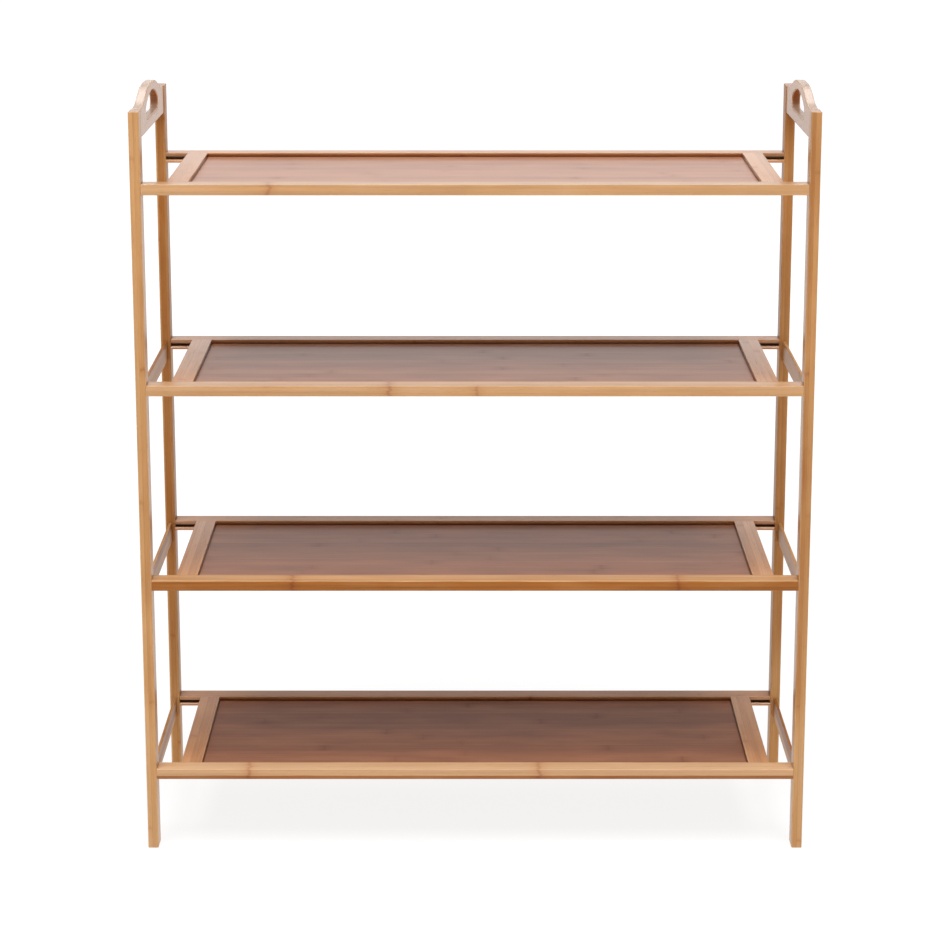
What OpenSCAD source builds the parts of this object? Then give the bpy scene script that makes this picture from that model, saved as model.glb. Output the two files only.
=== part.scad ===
// Free-standing bamboo shoe rack: two side frames carry framed shelves, with a grip cut-out
// in the board at the top of each side. The origin is on the floor, under the middle of the
// rack. The rack's width lies along X, its front faces -Y and its height is along Z.

/* [Rack] */
// Width across the outer faces of the legs
rack_w = 700; // [500:10:1000]
// Depth from the front faces of the front legs to the back faces of the rear legs
rack_d = 260; // [220:5:400]
// Height of the legs
leg_h = 790; // [700:1:1000]

/* [Shelves] */
// Number of shelves, counted as tiers from the floor up
tiers = 4; // [2:1:5]
// Height of the lowest shelf's top face above the floor
first_top_z = 89; // [60:1:120]
// Distance from the highest shelf's top face up to the tops of the legs
top_gap = 74; // [60:1:120]
// Open gap between a leg's inner face and the shelf's stile
stile_gap = 24; // [5:1:60]
// Thickness of the shelf panels
panel_t = 3; // [2:0.5:4]

/* [Stock] */
// Thickness of the legs, rails and stiles
stock_t = 11; // [10:0.5:16]
// Width of the legs, rails and stiles
stock_w = 22; // [20:0.5:34]
// Thickness of the lip of rail and stile above the panel
lip_t = 4; // [3:0.25:5]
// Depth of the grooves that hold the panels
groove_depth = 6; // [4:0.5:8]

/* [Side slats] */
// Thickness of the slats between a side's two legs
slat_t = 3; // [2:0.5:5]
// Height of the slats
slat_h = 22; // [12:1:40]
// Distance from a shelf's top face down to its slats' top edges
slat_drop = 2; // [0:1:10]

/* [Handle boards] */
// Thickness of the boards at the top of the sides
board_t = 9; // [7:0.5:10]
// Height of a board where it meets the legs
board_h = 30; // [26:1:45]
// Rise of the board's rounded top above the legs
hump_rise = 16; // [12:1:30]
// Length of the nearly level stretch at the crown of the board
crown_l = 20; // [0:1:60]
// Length of the grip cut-out
grip_l = 112; // [80:1:124]
// Height of the grip cut-out
grip_h = 25; // [20:1:28]
// Height of the cut-out's floor above the board's lower edge
grip_base = 12; // [8:1:14]
// Radius of the cut-out's lower corners
grip_corner_r = 7; // [3:0.5:9]

/* [Fasteners] */
// Diameter of the screws' shanks
screw_d = 4; // [3:0.5:5]
// Length of a screw below its head
screw_l = 45; // [30:1:60]
// Diameter of the screw heads
screw_head_d = 9; // [7:0.5:10]
// Height of the screw heads
screw_head_h = 2; // [1.5:0.1:3]
// Depth to which the screw heads are let into the legs
screw_sink = 1.7; // [0.5:0.1:2]
// Diameter of the dowels that hold the handle boards
dowel_d = 5; // [4:0.5:6]
// Length of the dowels
dowel_l = 28; // [20:1:36]

/* [Hidden] */
left = -1;
right = 1;
front = -1;
rear = 1;
TIER_PARTS = ["front_rail", "rear_rail", "left_stile", "right_stile", "panel", "screws"];

$fn = 48;
bamboo = [0.79, 0.60, 0.40];
brown_bamboo = [0.50, 0.34, 0.25];
black_steel = [0.13, 0.12, 0.12];
dowel_wood = [0.88, 0.76, 0.58];

rail_l = rack_w - 2 * stock_t;
leg_span = rack_d - 2 * stock_w;
leg_x = rack_w / 2 - stock_t / 2;
leg_y = rack_d / 2 - stock_w / 2;
tier_pitch = (leg_h - top_gap - first_top_z) / (tiers - 1);

panel_clearance = 0.2;
panel_edge_gap = 1;
groove_h = panel_t + panel_clearance;
groove_z = stock_t - lip_t - groove_h;
stile_x = rack_w / 2 - stock_t - stile_gap - stock_w / 2;
panel_reach = groove_depth - panel_edge_gap;
panel_l = 2 * stile_x - stock_w + 2 * panel_reach;
panel_w = leg_span + 2 * panel_reach;

slat_mortise = 6;
screw_hole_clearance = 0.25;
socket_af = 2.5;
socket_depth = 1.2;
dowel_in_leg = dowel_l * 0.45;
dowel_inset = 8;
board_z = leg_h - board_h;
ogee_steps = 16;
slack = 1;

function tier_top(tier) = first_top_z + (tier - 1) * tier_pitch;
function rail_z(tier) = tier_top(tier) - stock_t;
function screw_z(tier) = tier_top(tier) - stock_t / 2;
function slat_z(tier) = tier_top(tier) - slat_drop - slat_h;
function dowel_z() = [board_z + dowel_inset, leg_h - dowel_inset];

// Rise of an ogee, two equal arcs that meet tangent at mid-height, at a distance along its run.
function ogee_r(run, rise) = (pow(run / 2, 2) + pow(rise / 2, 2)) / rise;
function ogee(at, run, rise) =
    at <= run / 2
        ? ogee_r(run, rise) - sqrt(pow(ogee_r(run, rise), 2) - pow(at, 2))
        : rise - ogee(run - at, run, rise);

// The radius of the grip's arched top, which is tangent to the two lower corner arcs.
grip_reach = grip_l / 2 - grip_corner_r;
grip_arch_r = (pow(grip_reach, 2) + pow(grip_h, 2) - 2 * grip_corner_r * grip_h)
    / (2 * (grip_h - 2 * grip_corner_r));

// Turns a drawing made with X forward and Y up into a plate that stands across the X axis.
module upright_plate(thickness) {
    rotate([90, 0, 90])
        linear_extrude(thickness, center = true)
            children();
}

// A box given by its centre in X and Y and its lowest Z.
module bar(size_x, size_y, size_z) {
    translate([-size_x / 2, -size_y / 2, 0])
        cube([size_x, size_y, size_z]);
}

// A round hole or peg along X, centred at the origin.
module rod_x(d, l) {
    rotate([0, 90, 0])
        cylinder(d = d, h = l, center = true);
}

// A round hole or peg along Y, centred at the origin.
module rod_y(d, l) {
    rotate([90, 0, 0])
        cylinder(d = d, h = l, center = true);
}

// Legs: each has a slot for every slat, two dowel holes and a counterbored hole at every shelf.
module leg(side, end) {
    color(bamboo)
        translate([side * leg_x, end * leg_y, 0])
            difference() {
                bar(stock_t, stock_w, leg_h);
                for (tier = [1:tiers])
                    translate([0, 0, screw_z(tier)]) {
                        rod_x(screw_d + 2 * screw_hole_clearance, stock_t + 2 * slack);
                        translate([side * stock_t / 2, 0, 0])
                            rod_x(screw_head_d + 2 * screw_hole_clearance, 2 * screw_sink);
                    }
                for (tier = [1:tiers - 1])
                    translate([0, -end * stock_w / 2, slat_z(tier)])
                        bar(slat_t, 2 * slat_mortise, slat_h);
                for (z = dowel_z())
                    translate([0, -end * stock_w / 2, z])
                        rod_y(dowel_d, 2 * dowel_in_leg);
            }
}

// Slats: one thin strip on edge between a side's two legs, housed in both.
module slat(tier, side) {
    color(bamboo)
        translate([side * leg_x, 0, slat_z(tier)])
            bar(slat_t, leg_span + 2 * slat_mortise, slat_h);
}

// Outline of a handle board, seen from the side: ogee shoulders that rise to a level crown.
module board_outline() {
    half = leg_span / 2;
    run = half - crown_l / 2;
    rising = [for (i = [0:ogee_steps]) let (at = run * i / ogee_steps)
        [-half + at, leg_h + ogee(at, run, hump_rise)]];
    falling = [for (i = [ogee_steps:-1:0]) [-rising[i][0], rising[i][1]]];
    polygon(concat([[-half, board_z]], rising, falling, [[half, board_z]]));
}

// Outline of the grip: a level floor, two round lower corners and an arched top.
module grip_outline() {
    floor_z = board_z + grip_base;
    corner_z = floor_z + grip_corner_r;
    tangent_y = grip_reach * grip_arch_r / (grip_arch_r - grip_corner_r);
    translate([-grip_reach, floor_z])
        square([2 * grip_reach, grip_corner_r]);
    for (end = [front, rear])
        translate([end * grip_reach, corner_z])
            circle(r = grip_corner_r);
    intersection() {
        translate([0, floor_z + grip_h - grip_arch_r])
            circle(r = grip_arch_r, $fn = 180);
        translate([-tangent_y, corner_z])
            square([2 * tangent_y, grip_h]);
    }
}

// Handle boards: each fills the space between its side's legs and is held by four dowels.
module handle_board(side) {
    color(bamboo)
        translate([side * leg_x, 0, 0])
            difference() {
                upright_plate(board_t)
                    board_outline();
                upright_plate(board_t + 2 * slack)
                    grip_outline();
                for (end = [front, rear], z = dowel_z())
                    translate([0, end * leg_span / 2, z])
                        rod_y(dowel_d, 2 * (dowel_l - dowel_in_leg));
            }
}

// Dowels of one side: two at each end of the handle board.
module handle_dowels(side) {
    dowel_y = leg_span / 2 + dowel_in_leg - dowel_l / 2;
    color(dowel_wood)
        for (end = [front, rear], z = dowel_z())
            translate([side * leg_x, end * dowel_y, z])
                rod_y(dowel_d, dowel_l);
}

// Rails: between the legs, grooved along the whole inner face, with a screw hole in each end.
module rail(tier, end) {
    hole_l = screw_l + screw_sink - stock_t;
    color(bamboo)
        translate([0, end * leg_y, rail_z(tier)])
            difference() {
                bar(rail_l, stock_w, stock_t);
                translate([0, -end * stock_w / 2, groove_z])
                    bar(rail_l + 2 * slack, 2 * groove_depth, groove_h);
                for (side = [left, right])
                    translate([side * rail_l / 2, 0, stock_t / 2])
                        rod_x(screw_d, 2 * hole_l);
            }
}

// Stiles: between the rails, with a tongue at each end in the rails' grooves.
module stile(tier, side) {
    color(bamboo)
        translate([side * stile_x, 0, rail_z(tier)])
            difference() {
                union() {
                    bar(stock_w, leg_span, stock_t);
                    translate([0, 0, groove_z])
                        bar(stock_w, leg_span + 2 * groove_depth, groove_h);
                }
                translate([-side * stock_w / 2, 0, groove_z])
                    bar(2 * groove_depth, rack_d, groove_h);
            }
}

// Panels: each lies loose in the grooves of its rails and stiles.
module panel(tier) {
    color(brown_bamboo)
        translate([0, 0, rail_z(tier) + groove_z])
            bar(panel_l, panel_w, panel_t);
}

// One screw, with its head's seat at the origin and its shank along -Z.
module screw() {
    dome_r = (pow(screw_head_d / 2, 2) + pow(screw_head_h, 2)) / (2 * screw_head_h);
    difference() {
        union() {
            translate([0, 0, -screw_l])
                cylinder(d = screw_d, h = screw_l);
            rotate_extrude()
                intersection() {
                    translate([0, screw_head_h - dome_r])
                        circle(r = dome_r, $fn = 96);
                    square([screw_head_d / 2, screw_head_h]);
                }
        }
        translate([0, 0, screw_head_h - socket_depth])
            cylinder(d = socket_af / cos(30), h = socket_depth + slack, $fn = 6);
    }
}

// Screws of one shelf: each goes through a leg into the end of a rail.
module screws(tier) {
    color(black_steel)
        for (side = [left, right], end = [front, rear])
            translate([side * (rack_w / 2 - screw_sink), end * leg_y, screw_z(tier)])
                rotate([0, side * 90, 0])
                    screw();
}

leg(left, front);  // front_left_leg
leg(left, rear);  // rear_left_leg
leg(right, front);  // front_right_leg
leg(right, rear);  // rear_right_leg
handle_board(left);  // left_handle_board
handle_board(right);  // right_handle_board
handle_dowels(left);  // left_handle_dowels
handle_dowels(right);  // right_handle_dowels

for (tier = [1:tiers]) {
    rail(tier, front);
    rail(tier, rear);
    stile(tier, left);
    stile(tier, right);
    panel(tier);
    screws(tier);
}

for (tier = [1:tiers - 1]) {
    slat(tier, left);
    slat(tier, right);
}
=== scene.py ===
import math

import bmesh
import bpy
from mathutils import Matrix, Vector


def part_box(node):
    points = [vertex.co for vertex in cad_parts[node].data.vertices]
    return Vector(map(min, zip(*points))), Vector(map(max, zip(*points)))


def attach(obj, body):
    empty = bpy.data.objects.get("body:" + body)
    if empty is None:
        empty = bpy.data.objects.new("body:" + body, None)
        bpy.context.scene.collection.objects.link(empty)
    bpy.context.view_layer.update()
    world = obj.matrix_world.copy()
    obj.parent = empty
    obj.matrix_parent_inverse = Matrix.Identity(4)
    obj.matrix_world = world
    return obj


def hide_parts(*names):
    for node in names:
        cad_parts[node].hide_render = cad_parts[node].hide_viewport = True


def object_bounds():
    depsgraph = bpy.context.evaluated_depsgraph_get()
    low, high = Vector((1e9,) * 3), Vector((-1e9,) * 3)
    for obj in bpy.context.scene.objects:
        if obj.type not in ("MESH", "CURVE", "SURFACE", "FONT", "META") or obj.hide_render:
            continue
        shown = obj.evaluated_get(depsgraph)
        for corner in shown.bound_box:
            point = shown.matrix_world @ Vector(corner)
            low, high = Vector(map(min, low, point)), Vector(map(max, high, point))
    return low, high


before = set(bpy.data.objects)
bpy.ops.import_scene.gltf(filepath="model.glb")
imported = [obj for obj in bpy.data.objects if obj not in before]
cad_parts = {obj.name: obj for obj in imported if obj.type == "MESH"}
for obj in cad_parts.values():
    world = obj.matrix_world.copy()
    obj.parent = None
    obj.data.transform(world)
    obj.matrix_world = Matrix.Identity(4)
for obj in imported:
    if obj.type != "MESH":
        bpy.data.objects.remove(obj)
cad_lo, cad_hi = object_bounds()

# Lengths in this file are metres; the wood patterns work in millimetres.
MM = 1000.0
X, Y, Z = 0, 1, 2

# Limits for reading the CAD meshes: a weld, a flat joint, an edge worth easing, and a point's
# distance from a face that it lies in.
WELD = 1e-6
FLAT = math.radians(1)
CORNER = math.radians(30)
ON_FACE = 2e-5
EASE_STEPS = 3


# ---------------------------------------------------------------- node helpers


class Graph:
    """Adds nodes to one tree. An input's value is linked if it is a socket, and set if not."""

    def __init__(self, tree):
        self.tree = tree

    def put(self, socket, value):
        if isinstance(value, bpy.types.NodeSocket):
            self.tree.links.new(value, socket)
        else:
            socket.default_value = value

    def node(self, kind, inputs=(), **settings):
        made = self.tree.nodes.new(kind)
        for key, value in settings.items():
            setattr(made, key, value)
        for key, value in dict(inputs).items():
            self.put(made.inputs[key], value)
        return made

    def math(self, operation, *values):
        made = self.node("ShaderNodeMath", operation=operation)
        for socket, value in zip(made.inputs, values):
            self.put(socket, value)
        return made.outputs[0]

    def add(self, a, b):
        return self.math("ADD", a, b)

    def mul(self, a, b):
        return self.math("MULTIPLY", a, b)

    def about(self, value, gain):
        """gain times how far the value is above one half, the middle of a noise."""
        return self.mul(self.math("SUBTRACT", value, 0.5), gain)

    def bell(self, distance, width):
        """1 at distance 0, falling smoothly to nothing by about twice the width."""
        scaled = self.math("DIVIDE", distance, width)
        return self.math("EXPONENT", self.mul(self.mul(scaled, scaled), -1.0))

    def fade(self, value, start, end, low=1.0, high=0.0):
        """low up to start, high from end, and a smooth step between them."""
        made = self.node(
            "ShaderNodeMapRange",
            {"Value": value, "From Min": start, "From Max": end, "To Min": low, "To Max": high},
            interpolation_type="SMOOTHSTEP",
        )
        return made.outputs["Result"]

    def vector(self, x, y, z):
        return self.node("ShaderNodeCombineXYZ", {"X": x, "Y": y, "Z": z}).outputs[0]

    def split(self, vector):
        return self.node("ShaderNodeSeparateXYZ", {"Vector": vector}).outputs[:3]

    def stretched(self, place, rates, shift=0.0):
        """A point of a pattern with the given cycles per millimetre along and across the grain."""
        along, u, v = place
        return self.vector(
            self.add(self.mul(along, rates[0]), shift), self.mul(u, rates[1]), self.mul(v, rates[1])
        )

    def noise(self, vector, detail=2.0, roughness=0.5):
        made = self.node(
            "ShaderNodeTexNoise",
            {"Vector": vector, "Scale": 1.0, "Detail": detail, "Roughness": roughness},
        )
        return made.outputs["Fac"]

    def cells(self, vector):
        voronoi = self.node("ShaderNodeTexVoronoi", {"Vector": vector, "Scale": 1.0})
        return voronoi.outputs["Distance"]

    def blend(self, factor, a, b, mode="MIX"):
        made = self.node("ShaderNodeMix", data_type="RGBA", blend_type=mode)
        for index, value in ((0, factor), (6, a), (7, b)):
            self.put(made.inputs[index], value)
        return made.outputs[2]

    def shade(self, colour, factor):
        made = self.node(
            "ShaderNodeVectorMath", {"Vector": colour, "Scale": factor}, operation="SCALE"
        )
        return made.outputs["Vector"]

    def ramp(self, factor, stops):
        made = self.node("ShaderNodeValToRGB", {"Fac": factor})
        elements = made.color_ramp.elements
        while len(elements) < len(stops):
            elements.new(0.5)
        for element, (place, colour) in zip(elements, stops):
            element.position = place
            element.color = (*colour, 1.0)
        return made.outputs["Color"]

    def attribute(self, name):
        return self.node("ShaderNodeAttribute", attribute_name=name).outputs["Fac"]


def material_graph(name):
    """A new material, its graph and its shader."""
    material = bpy.data.materials.new(name)
    material.use_nodes = True
    graph = Graph(material.node_tree)
    return material, graph, graph.tree.nodes["Principled BSDF"]


# ---------------------------------------------------------------- bamboo pattern

PATTERN_IN = ("Along", "U", "V", "Seed", "Strip U", "Strip V", "Gap")
PATTERN_OUT = ("Tone", "Streak", "Fibre", "Dash", "Glue", "Knuckle", "Halo", "Drift")

# How far each piece's seed moves its rows of strips, in strips.
ROW_STEPS = (0.37, 0.61)
# Distances from a glue joint, in millimetres, at which its line starts and ends.
GLUE_LINE = (0.08, 0.35)
# Growth rings, in millimetres: how far they wander, and the widths of the line and of its halo.
RING_WANDER = 7.0
RING_WIDTH = 1.7
HALO_WIDTH = 9.0
# Cycles per millimetre along and across the grain.
WARP_RATE = 0.22
SWIRL_RATES = (0.09, 0.3)
FIBRE_RATES = (0.018, 1.9)
STREAK_RATES = (0.004, 0.4)
VESSEL_RATES = (0.06, 0.95)
DRIFT_RATES = (0.012, 0.045)
# How far the fibres swerve around a ring, in millimetres.
SWERVE = 5.0


def pattern_group():
    """Strips glued side by side, each with its own tone, fibres, vessels and growth rings."""
    tree = bpy.data.node_groups.new("laminated_bamboo", "ShaderNodeTree")
    for name in PATTERN_IN:
        tree.interface.new_socket(name, in_out="INPUT", socket_type="NodeSocketFloat")
    for name in PATTERN_OUT:
        tree.interface.new_socket(name, in_out="OUTPUT", socket_type="NodeSocketFloat")
    g = Graph(tree)
    given = g.node("NodeGroupInput").outputs
    along, u, v, seed, strip_u, strip_v, gap = (given[name] for name in PATTERN_IN)

    row_u = g.add(g.math("DIVIDE", u, strip_u), g.mul(seed, ROW_STEPS[0]))
    row_v = g.add(g.math("DIVIDE", v, strip_v), g.mul(seed, ROW_STEPS[1]))
    strip = g.vector(g.math("FLOOR", row_u), g.math("FLOOR", row_v), seed)
    dice = g.node("ShaderNodeTexWhiteNoise", {"Vector": strip}, noise_dimensions="3D")
    phase, lean, _ = g.split(dice.outputs["Color"])

    def to_joint(row, width):
        off_centre = g.math("ABSOLUTE", g.about(g.math("FRACT", row), 1.0))
        return g.mul(g.math("SUBTRACT", 0.5, off_centre), width)

    joint = g.math("MINIMUM", to_joint(row_u, strip_u), to_joint(row_v, strip_v))
    glue = g.fade(joint, *GLUE_LINE)

    ring = g.add(g.math("DIVIDE", along, gap), phase)
    warp = g.noise(g.vector(g.mul(u, WARP_RATE), g.mul(v, WARP_RATE), g.add(seed, lean)))
    past_ring = g.add(g.mul(g.about(g.math("FRACT", ring), 1.0), gap), g.about(warp, RING_WANDER))
    toss = g.node(
        "ShaderNodeTexWhiteNoise",
        {"Vector": strip, "W": g.math("FLOOR", ring)},
        noise_dimensions="4D",
    )
    strength = g.fade(toss.outputs["Value"], 0.1, 1.0, low=0.25, high=1.0)
    knuckle = g.mul(g.bell(past_ring, RING_WIDTH), strength)
    halo = g.mul(g.bell(past_ring, HALO_WIDTH), strength)

    swirl = g.noise(g.stretched((along, u, v), SWIRL_RATES))
    bent = (along, g.add(u, g.mul(halo, g.about(swirl, SWERVE))), v)
    fibre = g.noise(g.stretched(bent, FIBRE_RATES, seed), 3.0, 0.6)
    streak = g.noise(g.stretched(bent, STREAK_RATES, seed), 3.0, 0.55)
    dash = g.fade(g.cells(g.stretched(bent, VESSEL_RATES)), 0.05, 0.3)
    drift = g.noise(
        g.vector(g.mul(along, DRIFT_RATES[0]), seed, g.mul(g.add(u, v), DRIFT_RATES[1])), 2.0
    )

    result = g.node("NodeGroupOutput")
    values = (dice.outputs["Value"], streak, fibre, dash, glue, knuckle, halo, drift)
    for name, value in zip(PATTERN_OUT, values):
        g.put(result.inputs[name], value)
    return tree


BAMBOO_GROUP = pattern_group()

# ---------------------------------------------------------------- bamboo looks


def tones(dark, middle, pale):
    return ((0.0, dark), (0.5, middle), (1.0, pale))


# Each look: the colours from a dark strip to a pale one, how strong each kind of variation is, what
# each mark multiplies the colour by, and the surface's roughness and bump.
PALE = {
    "stops": tones((0.29, 0.092, 0.010), (0.475, 0.242, 0.088), (0.60, 0.360, 0.190)),
    "streak": 0.50, "fibre": 0.32, "cloud": 0.5,
    "vessel": (0.70, 0.58, 0.46), "halo": (0.90, 0.79, 0.69),
    "knuckle": (0.74, 0.58, 0.46), "glue": (0.76, 0.64, 0.52),
    "rough": 0.22, "bump": 0.6,
}
BROWN = {
    "stops": tones((0.215, 0.072, 0.027), (0.30, 0.110, 0.045), (0.38, 0.150, 0.066)),
    "streak": 0.60, "fibre": 0.30, "cloud": 1.2,
    "vessel": (0.74, 0.66, 0.58), "halo": (0.88, 0.84, 0.84),
    "knuckle": (0.80, 0.74, 0.72), "glue": (0.90, 0.86, 0.84),
    "rough": 0.30, "bump": 0.2,
}
ROSY = {
    **PALE, "stops": tones((0.31, 0.105, 0.022), (0.530, 0.240, 0.090), (0.64, 0.350, 0.190)),
}
CALM = {**PALE, "streak": 0.14, "fibre": 0.05, "vessel": (0.92, 0.88, 0.85), "bump": 0.08}
BOARD = {
    **CALM,
    "stops": tones((0.30, 0.110, 0.030), (0.478, 0.256, 0.120), (0.60, 0.372, 0.230)),
    "streak": 0.08, "fibre": 0.04, "bump": 0.02,
    "vessel": (0.97, 0.95, 0.93), "glue": (0.88, 0.82, 0.76),
}
STREAKY = {**PALE, "streak": 1.0, "fibre": 0.55}

# How strongly each mark of the pattern tells, in the order they are laid on.
MARKS = (
    ("vessel", "Dash", 0.45),
    ("halo", "Halo", 0.8),
    ("knuckle", "Knuckle", 0.75),
    ("glue", "Glue", 0.6),
)

# A chosen ring, in millimetres: how far it wanders, and the widths of its line and its halo.
BOLD_WANDER = 12.0
BOLD_WIDTH = 2.0
BOLD_HALO = 8.0

# Heights above the bottom of a leg, in millimetres, between which its painted light from the floor,
# a paler tone, gives way.
BOUNCE_LIFT_SPAN = (110.0, 200.0)

# What the wood's colour goes towards: a painted sheen on faces that look up, rubbed edges painted
# paler as wear and as a painted highlight, a painted shadow along a panel's edges, and painted shade
# inside grooves and bores and on the wall of a grip.
TOP_SHEEN_TINT = (0.45, 0.365, 0.32, 1.0)
RUB_AND_HIGHLIGHT = (0.80, 0.58, 0.36, 1.0)
SEAM_SHADOW = (0.110, 0.035, 0.012, 1.0)
GROOVE_SHADE = (0.035, 0.014, 0.005, 1.0)
GRIP_SHADE = (0.21, 0.040, 0.001, 1.0)
# How far it goes towards each at most.
RUB_AND_HIGHLIGHT_GAIN = 0.22
SEAM_SHADOW_GAIN = 0.85
HOLLOW_SHADE_GAIN = 0.75
# Distances from a panel's visible edge, in millimetres, between which the painted shadow gives way.
SEAM_SHADOW_SPAN = (0.5, 1.7)

COAT_ROUGHNESS = 0.22


def bold_rings(g, out, place, seed, rings):
    """Adds bold rings at chosen places along the piece, in millimetres from its middle."""
    along, u, v = place
    for ring in rings:
        waver = g.noise(g.vector(g.mul(u, 0.3), g.mul(v, 0.3), seed + ring), 3.0)
        past = g.add(g.math("SUBTRACT", along, ring), g.about(waver, BOLD_WANDER))
        out["Knuckle"] = g.math("MAXIMUM", out["Knuckle"], g.bell(past, BOLD_WIDTH))
        out["Halo"] = g.math("MAXIMUM", out["Halo"], g.bell(past, BOLD_HALO))


def low_band_tone(g, place, half_v, low_band, tone, seed):
    """The tone of a piece with a darker band along its bottom, as high in millimetres as the first
    of the two numbers, in the tone of the second.
    """
    along, _, v = place
    above = g.add(v, half_v - low_band[0])
    waver = g.noise(g.vector(g.mul(along, 0.02), 0.0, seed))
    above = g.add(above, g.about(waver, 1.2))
    return g.fade(above, -0.15, 0.15, low_band[1], tone)


def painted_seam_shadow(g, colour, place, half, seam):
    """Painted shadow: a dark line where a panel goes into its frame, seam mm inside its edges."""
    inward = [
        g.math("SUBTRACT", reach - hidden, g.math("ABSOLUTE", mm))
        for reach, hidden, mm in zip(half, seam, place)
    ]
    line = g.fade(g.math("MINIMUM", *inward), *SEAM_SHADOW_SPAN)
    return g.blend(g.mul(line, SEAM_SHADOW_GAIN), colour, SEAM_SHADOW)


def bamboo(
    name, lo, hi, grain, look, seed, strips, tone=0.5, spread=0.5, gap=360.0, low_band=None, rings=(),
    gloss=0.3, coat=0.0, seam=None, top_sheen=0.0, hollow_shade=GROOVE_SHADE, bounce_lift=0.0,
):
    """A lacquered bamboo material for one piece, its grain along one axis of the piece's box."""
    material, g, shader = material_graph(name)
    texture = g.node("ShaderNodeTexCoord").outputs
    axes = [grain] + [a for a in range(3) if a != grain]
    centred = g.node(
        "ShaderNodeVectorMath", {0: texture["Object"], 1: (lo + hi) / 2}, operation="SUBTRACT"
    )
    point = g.split(centred.outputs["Vector"])
    along, u, v = place = [g.mul(point[a], MM) for a in axes]
    half = [(hi - lo)[a] * MM / 2 for a in axes]
    pattern = g.node("ShaderNodeGroup", node_tree=BAMBOO_GROUP)
    for key, value in zip(PATTERN_IN, (along, u, v, seed, *strips, gap)):
        g.put(pattern.inputs[key], value)
    out = dict(pattern.outputs.items())
    bold_rings(g, out, place, seed, rings)

    if low_band:
        tone = low_band_tone(g, place, half[2], low_band, tone, seed)
    level = g.add(g.about(out["Tone"], spread), g.add(tone, g.about(out["Drift"], look["cloud"])))
    # Painted light: a leg is paler near the floor, standing in for light bounced up from it.
    if bounce_lift:
        from_middle = [height - half[0] for height in BOUNCE_LIFT_SPAN]
        level = g.add(level, g.fade(along, *from_middle, low=bounce_lift, high=0.0))
    colour = g.ramp(level, look["stops"])
    light = g.add(g.about(out["Streak"], look["streak"]), g.about(out["Fibre"], look["fibre"]))
    colour = g.shade(colour, g.add(light, 1.0))
    for key, mask, gain in MARKS:
        marked = g.blend(1.0, colour, (*look[key], 1.0), "MULTIPLY")
        colour = g.blend(g.mul(out[mask], gain), colour, marked)
    # A painted shadow along the panel's edges where it meets the frame.
    if seam:
        colour = painted_seam_shadow(g, colour, (along, u), half, seam)

    # Cut ends show the fibre bundles as dots, and soak up more lacquer.
    normal = g.split(texture["Normal"])
    end = g.fade(g.math("ABSOLUTE", normal[grain]), 0.6, 0.9, low=0.0, high=1.0)
    bundles = g.cells(g.vector(g.mul(u, 1.3), g.mul(v, 1.3), seed))
    dots = g.fade(bundles, 0.1, 0.45, low=0.70, high=0.95)
    colour = g.blend(end, colour, g.shade(colour, dots))

    # Painted sheen: outer faces that look up are painted paler, standing in for the light and sheen
    # they catch from above.
    hollow = g.attribute("hollow")
    top_sheen_mask = g.fade(normal[Z], 0.2, 0.7, low=0.0, high=top_sheen)
    colour = g.blend(g.mul(top_sheen_mask, g.math("SUBTRACT", 1.0, hollow)), colour, TOP_SHEEN_TINT)

    # Eased edges are painted a little paler in places, partly as wear and partly as a painted
    # highlight where the rounding catches light, and are duller there.
    arris = g.attribute("arris")
    rub = g.noise(g.vector(g.mul(along, 0.05), g.mul(u, 0.4), g.add(g.mul(v, 0.4), seed)), 3.0)
    wear_and_highlight = g.mul(arris, g.fade(rub, 0.3, 0.65, low=0.25, high=1.0))
    colour = g.blend(wear_and_highlight, colour, g.blend(RUB_AND_HIGHLIGHT_GAIN, colour, RUB_AND_HIGHLIGHT))
    # Painted shade: faces inside grooves, bores and the grip go towards a dark colour.
    colour = g.blend(g.mul(hollow, HOLLOW_SHADE_GAIN), colour, hollow_shade)
    g.put(shader.inputs["Base Color"], colour)
    shader.inputs["Specular IOR Level"].default_value = gloss
    shader.inputs["Coat Weight"].default_value = coat
    shader.inputs["Coat Roughness"].default_value = COAT_ROUGHNESS

    # A duller piece is rougher too, and so are cut ends, edges and the halo of a ring.
    rough = g.add(look["rough"], g.about(out["Fibre"], look["fibre"] / 2))
    rough = g.add(rough, g.add(g.mul(out["Halo"], 0.05), g.mul(end, 0.2)))
    rough = g.add(rough, g.add(g.mul(arris, 0.30), g.mul(wear_and_highlight, 0.06)))
    g.put(shader.inputs["Roughness"], g.add(rough, (0.5 - gloss) * 0.4))

    # Raised fibres and rings, sunk glue lines and vessels, in millimetres.
    height = g.add(g.about(out["Fibre"], 0.05), g.mul(out["Knuckle"], 0.07))
    height = g.math("SUBTRACT", height, g.mul(out["Glue"], 0.05))
    height = g.math("SUBTRACT", height, g.mul(out["Dash"], 0.02))
    bump = g.node(
        "ShaderNodeBump", {"Height": height, "Strength": look["bump"], "Distance": 1.0 / MM}
    )
    g.put(shader.inputs["Normal"], bump.outputs["Normal"])
    return material


# ---------------------------------------------------------------- steel

OXIDE = ((0.3, (0.016, 0.015, 0.016)), (0.6, (0.035, 0.032, 0.031)), (0.8, (0.08, 0.07, 0.062)))
MOTTLE_RATE = 0.9
GRIT_RATE = 5.0


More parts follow.
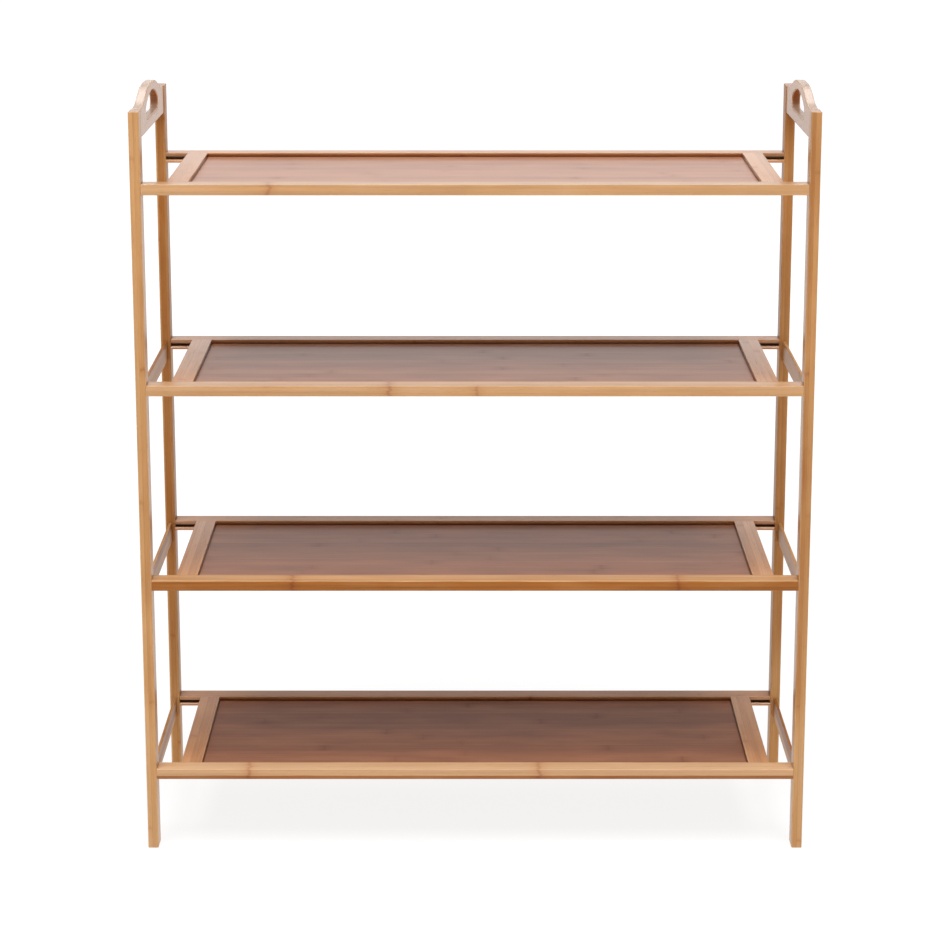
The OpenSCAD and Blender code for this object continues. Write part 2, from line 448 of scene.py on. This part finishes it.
def steel(name):
    """Black oxide on steel: nearly black, dull and mottled, with fine grit and rubbed spots."""
    material, g, shader = material_graph(name)
    place = [g.mul(c, MM) for c in g.split(g.node("ShaderNodeTexCoord").outputs["Object"])]
    mottle = g.noise(g.vector(*(g.mul(c, MOTTLE_RATE) for c in place)), 4.0, 0.6)
    grit = g.noise(g.vector(*(g.mul(c, GRIT_RATE) for c in place)), 2.0)
    g.put(shader.inputs["Base Color"], g.ramp(mottle, OXIDE))
    g.put(shader.inputs["Roughness"], g.add(0.6, g.about(mottle, 0.3)))
    bump = g.node("ShaderNodeBump", {"Height": grit, "Strength": 0.4, "Distance": 0.03 / MM})
    g.put(shader.inputs["Normal"], bump.outputs["Normal"])
    shader.inputs["Specular IOR Level"].default_value = 0.2
    return material


# ---------------------------------------------------------------- pieces


def sides_of(verts, lo, hi):
    """The axes whose end faces of the box hold all the vertices."""
    return {
        axis
        for axis in range(3) for limit in (lo[axis], hi[axis])
        if all(abs(vert.co[axis] - limit) < ON_FACE for vert in verts)
    }


def arrises(bm, lo, hi, shaped):
    """The edges to ease: those along two faces of the box, or on a shaped board's broad faces."""
    kept = []
    for edge in bm.edges:
        if edge.is_manifold and edge.calc_face_angle() >= CORNER:
            on = sides_of(edge.verts, lo, hi)
            if len(on) >= 2 or shaped in on:
                kept.append(edge)
    return kept


def hollowness(face, lo, hi, shaped):
    """How much painted shade a face gets: 1 on a face inside the piece, as in a groove, mortise or
    bore, and 0 on its outside.
    """
    if shaped is None:
        return 0.0 if sides_of(face.verts, lo, hi) else 1.0
    if face.normal.dot(face.calc_center_median() - (lo + hi) / 2) < 0:
        # Painted shade on the grip's wall, deepest where it doesn't look up.
        return 1.0 - 0.8 * max(face.normal.z, 0.0)
    return 0.0


def eased(node, radius, material, shaped=None):
    """A copy of a CAD node with its outer edges rounded over, which stands for it."""
    lo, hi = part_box(node)
    bm = bmesh.new()
    bm.from_mesh(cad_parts[node].data)
    bmesh.ops.remove_doubles(bm, verts=bm.verts, dist=WELD)
    bmesh.ops.dissolve_limit(bm, angle_limit=FLAT, verts=bm.verts, edges=bm.edges)
    arris = bm.faces.layers.float.new("arris")
    hollow = bm.faces.layers.float.new("hollow")
    for face in bm.faces:
        face[hollow] = hollowness(face, lo, hi, shaped)
    rounded = bmesh.ops.bevel(
        bm, geom=arrises(bm, lo, hi, shaped), offset=radius, offset_type="OFFSET",
        segments=EASE_STEPS, profile=0.5, affect="EDGES", clamp_overlap=False,
    )
    for face in rounded["faces"]:
        face[arris], face[hollow] = 1.0, 0.0
    for face in bm.faces:
        face.smooth = True
    mesh = bpy.data.meshes.new(node + "_wood")
    bm.to_mesh(mesh)
    bm.free()
    mesh.materials.append(material)
    piece = bpy.data.objects.new(node + "_wood", mesh)
    bpy.context.collection.objects.link(piece)
    normals = piece.modifiers.new("even_normals", "WEIGHTED_NORMAL")
    normals.keep_sharp = True
    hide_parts(node)
    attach(piece, "root")


def finish_node(node, material):
    """Gives a CAD node that stays in view its own material."""
    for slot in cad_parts[node].material_slots:
        slot.link = "OBJECT"
        slot.material = material


# Radii of the eased edges, in metres.
LEG_EASE = 0.0009
BOARD_EASE = 0.0011
FRAME_EASE = 0.0005
SLAT_EASE = 0.0005

# Widths of the glued strips across each kind of piece, in millimetres. WHOLE is wider than any
# piece of stock.
WHOLE = 40.0
LEG_STRIPS = (5.5, 7.3)
BOARD_STRIPS = (9.2, 15.0)
SLAT_STRIPS = (9.0, 7.8)
FRONT_RAIL_STRIPS = (7.4, WHOLE)
REAR_RAIL_STRIPS = (7.4, 6.4)
STILE_STRIPS = (7.4, 5.6)
PANEL_STRIPS = (17.5, WHOLE)

# Spacing of growth rings, in millimetres. The front rails only have the rings that are placed.
NO_RINGS = 5000.0
DOWEL_GAP = 900.0
PANEL_GAP = 310.0

# How far the outer faces that look up are painted paler, as a painted sheen.
TOP_SHEEN = 0.7

# Seeds of the patterns: a shelf's own, a step for each shelf, and a step for its slats and for
# its panel.
FIRST_SEED = 40.0
SEED_STEP = 10
SLAT_SEED = 5
PANEL_SEED = 8
DOWEL_SEED = 31.0

LEGS = {
    "front_left_leg": {"seed": 3.0, "tone": 0.54, "bounce_lift": 0.18},
    "front_right_leg": {"seed": 11.0, "tone": 0.34, "bounce_lift": 0.26},
    "rear_left_leg": {"seed": 7.0, "tone": 0.26, "bounce_lift": 0.18, "gloss": 0.15},
    "rear_right_leg": {"seed": 19.0, "tone": 0.20, "bounce_lift": 0.18, "gloss": 0.15},
}
BOARDS = {"left": {"seed": 23.0, "tone": 0.75}, "right": {"seed": 27.0, "tone": 0.40}}
FRONT_RAILS = {
    "1": {"tone": 0.92, "low_band": (3.9, 0.0), "rings": (-241.0, 68.0), "coat": 0.3},
    "2": {
        "tone": 0.50, "low_band": (10.2, -0.05), "rings": (-192.0, 213.0), "coat": 0.25, "gloss": 0.15,
        "look": STREAKY,
    },
    "3": {"tone": 0.58, "low_band": (5.5, 0.5), "rings": (-89.0,)},
    "4": {"tone": 0.46, "rings": (-210.0,)},
}
REAR_RAILS = {"1": {"tone": 0.58}, "2": {"tone": 0.56}, "3": {"tone": 0.56}, "4": {"tone": 0.34}}
# The panels share one brown sheet; their tone rising from tier 1, the lowest shelf, to tier 4 is
# painted light, for the extra light the upper shelves get.
PANELS = {
    "1": {"tone": 0.20, "coat": 0.2, "gloss": 0.2},
    "2": {"tone": 0.50, "coat": 0.5},
    "3": {"tone": 0.64, "coat": 0.55},
    "4": {"tone": 0.80, "coat": 0.6},
}


def side_frames():
    """The legs, and the handle boards with the dowels that hold them."""
    for node, look in LEGS.items():
        skin = bamboo(
            node + "_bamboo", *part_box(node), Z, PALE, strips=LEG_STRIPS, spread=0.35, top_sheen=TOP_SHEEN,
            **look,
        )
        eased(node, LEG_EASE, skin)
    for side, look in BOARDS.items():
        node = side + "_handle_board"
        skin = bamboo(
            node + "_bamboo", *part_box(node), Y, BOARD, strips=BOARD_STRIPS, spread=0.2, gloss=0.38,
            top_sheen=TOP_SHEEN, hollow_shade=GRIP_SHADE, **look,
        )
        eased(node, BOARD_EASE, skin, shaped=X)
        dowels = side + "_handle_dowels"
        finish_node(dowels, bamboo(
            side + "_dowel_wood", *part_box(dowels), Y, PALE, strips=(WHOLE, WHOLE),
            seed=DOWEL_SEED, tone=0.9, spread=0.1, gap=DOWEL_GAP,
        ))


def shelf(tier):
    """One shelf: its rails, stiles, panel and screws, and the slats beside it if it has them."""
    stem = "tier_" + tier + "_"
    seed = FIRST_SEED + SEED_STEP * int(tier)
    bars = {
        "front_rail": (X, FRONT_RAIL_STRIPS, {"look": PALE, "gap": NO_RINGS, **FRONT_RAILS[tier]}),
        "rear_rail": (X, REAR_RAIL_STRIPS, {"look": ROSY, **REAR_RAILS[tier]}),
        "left_stile": (Y, STILE_STRIPS, {"look": ROSY}),
        "right_stile": (Y, STILE_STRIPS, {"look": ROSY}),
    }
    for offset, (part, (grain, strips, look)) in enumerate(bars.items()):
        node = stem + part
        skin = bamboo(
            node + "_bamboo", *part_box(node), grain, strips=strips, seed=seed + offset, spread=0.3,
            **{"coat": 0.7, **look},
        )
        eased(node, FRAME_EASE, skin)
    for offset, side in enumerate(("left", "right"), start=SLAT_SEED):
        node = stem + side + "_slat"
        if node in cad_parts:
            skin = bamboo(
                node + "_bamboo", *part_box(node), Y, CALM, strips=SLAT_STRIPS, seed=seed + offset,
                tone=0.3, gloss=0.12,
            )
            eased(node, SLAT_EASE, skin)

    # A panel's edges are hidden in the frame as far as it reaches past the rail and the stile.
    panel_lo, panel_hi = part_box(stem + "panel")
    stile_lo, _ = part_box(stem + "right_stile")
    rail_lo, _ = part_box(stem + "rear_rail")
    hidden = ((panel_hi.x - stile_lo.x) * MM, (panel_hi.y - rail_lo.y) * MM)
    finish_node(stem + "panel", bamboo(
        stem + "panel_bamboo", panel_lo, panel_hi, X, BROWN,
        strips=PANEL_STRIPS, seed=seed + PANEL_SEED,
        spread=0.4, gap=PANEL_GAP, seam=hidden, **PANELS[tier],
    ))
    finish_node(stem + "screws", steel(stem + "screw_steel"))


side_frames()
for tier in PANELS:
    shelf(tier)


# ---------------------------------------------------------------- studio

WHITE = (1.0, 1.0, 1.0, 1.0)
FLOOR_GREY = (0.15, 0.15, 0.15, 1.0)
FLOOR_RADIUS = 60.0
# The floor's own light under the rack and further out, and the distances between which it changes.
GLOW_NEAR = 0.86
GLOW_FAR = 0.98
GLOW_REACH = (0.6, 4.0)

# Brightness of the surround against the sine of the elevation: white up to eye level and a little
# above it, and nearly black overhead, as in a studio above its backdrop.
SURROUND = ((0.0, 1.0), (0.15, 1.0), (0.24, 0.68), (0.29, 0.26), (0.33, 0.03), (1.0, 0.04))

# Softboxes: place, size and power in watts. All of them face the middle of the rack.
SOFTBOXES = {
    "key": ((0.0, -6.4, 6.4), (6.4, 4.8), 110.0),
    "top": ((0.0, -3.7, 9.6), (7.7, 5.8), 1230.0),
    "back": ((0.0, 3.6, 4.2), (4.0, 2.5), 95.0),
    "left": ((-4.5, -0.5, 3.6), (3.0, 3.0), 28.0),
    "right": ((4.5, -0.5, 3.6), (3.0, 3.0), 24.0),
}


def floor():
    """A pale seamless floor, lit from within so that it runs into the backdrop."""
    mesh = bpy.data.meshes.new("floor")
    bm = bmesh.new()
    bmesh.ops.create_circle(bm, cap_ends=True, radius=FLOOR_RADIUS, segments=96)
    bm.to_mesh(mesh)
    bm.free()
    disc = bpy.data.objects.new("floor", mesh)
    bpy.context.collection.objects.link(disc)
    material, g, shader = material_graph("floor")
    place = g.node("ShaderNodeTexCoord").outputs["Object"]
    length = g.node("ShaderNodeVectorMath", {"Vector": place}, operation="LENGTH")
    shader.inputs["Base Color"].default_value = FLOOR_GREY
    shader.inputs["Roughness"].default_value = 0.9
    shader.inputs["Specular IOR Level"].default_value = 0.0
    shader.inputs["Emission Color"].default_value = WHITE
    glow = g.fade(length.outputs["Value"], *GLOW_REACH, low=GLOW_NEAR, high=GLOW_FAR)
    g.put(shader.inputs["Emission Strength"], glow)
    mesh.materials.append(material)


def surround():
    """The world's light, which is also what the lacquer reflects."""
    world = bpy.data.worlds.new("studio")
    bpy.context.scene.world = world
    world.use_nodes = True
    g = Graph(world.node_tree)
    up = g.split(g.node("ShaderNodeTexCoord").outputs["Generated"])[Z]
    shades = [(place, (level, level, level)) for place, level in SURROUND]
    g.put(g.tree.nodes["Background"].inputs["Color"], g.ramp(up, shades))


def softbox(name, place, size, power, target):
    lamp = bpy.data.lights.new(name, "AREA")
    lamp.shape = "RECTANGLE"
    lamp.size, lamp.size_y = size
    lamp.energy = power
    holder = bpy.data.objects.new(name, lamp)
    holder.location = place
    holder.rotation_euler = (target - Vector(place)).to_track_quat("-Z", "Y").to_euler()
    holder.visible_camera = False
    bpy.context.collection.objects.link(holder)


floor()
surround()
for name, (place, size, power) in SOFTBOXES.items():
    softbox(name, place, size, power, (cad_lo + cad_hi) / 2)

# The camera looks down on the rack from the front. The shift only centres the rack in the frame.
EYE = Vector((0.0, -2.93, 1.13))
PITCH = math.radians(13.2)
camera = bpy.data.cameras.new("camera")
camera.lens = 105.5
camera.shift_y = -0.06
viewer = bpy.data.objects.new("camera", camera)
viewer.location = EYE
viewer.rotation_euler = (math.radians(90) - PITCH, 0.0, 0.0)
bpy.context.collection.objects.link(viewer)
bpy.context.scene.camera = viewer
bpy.context.scene.view_settings.view_transform = "Standard"
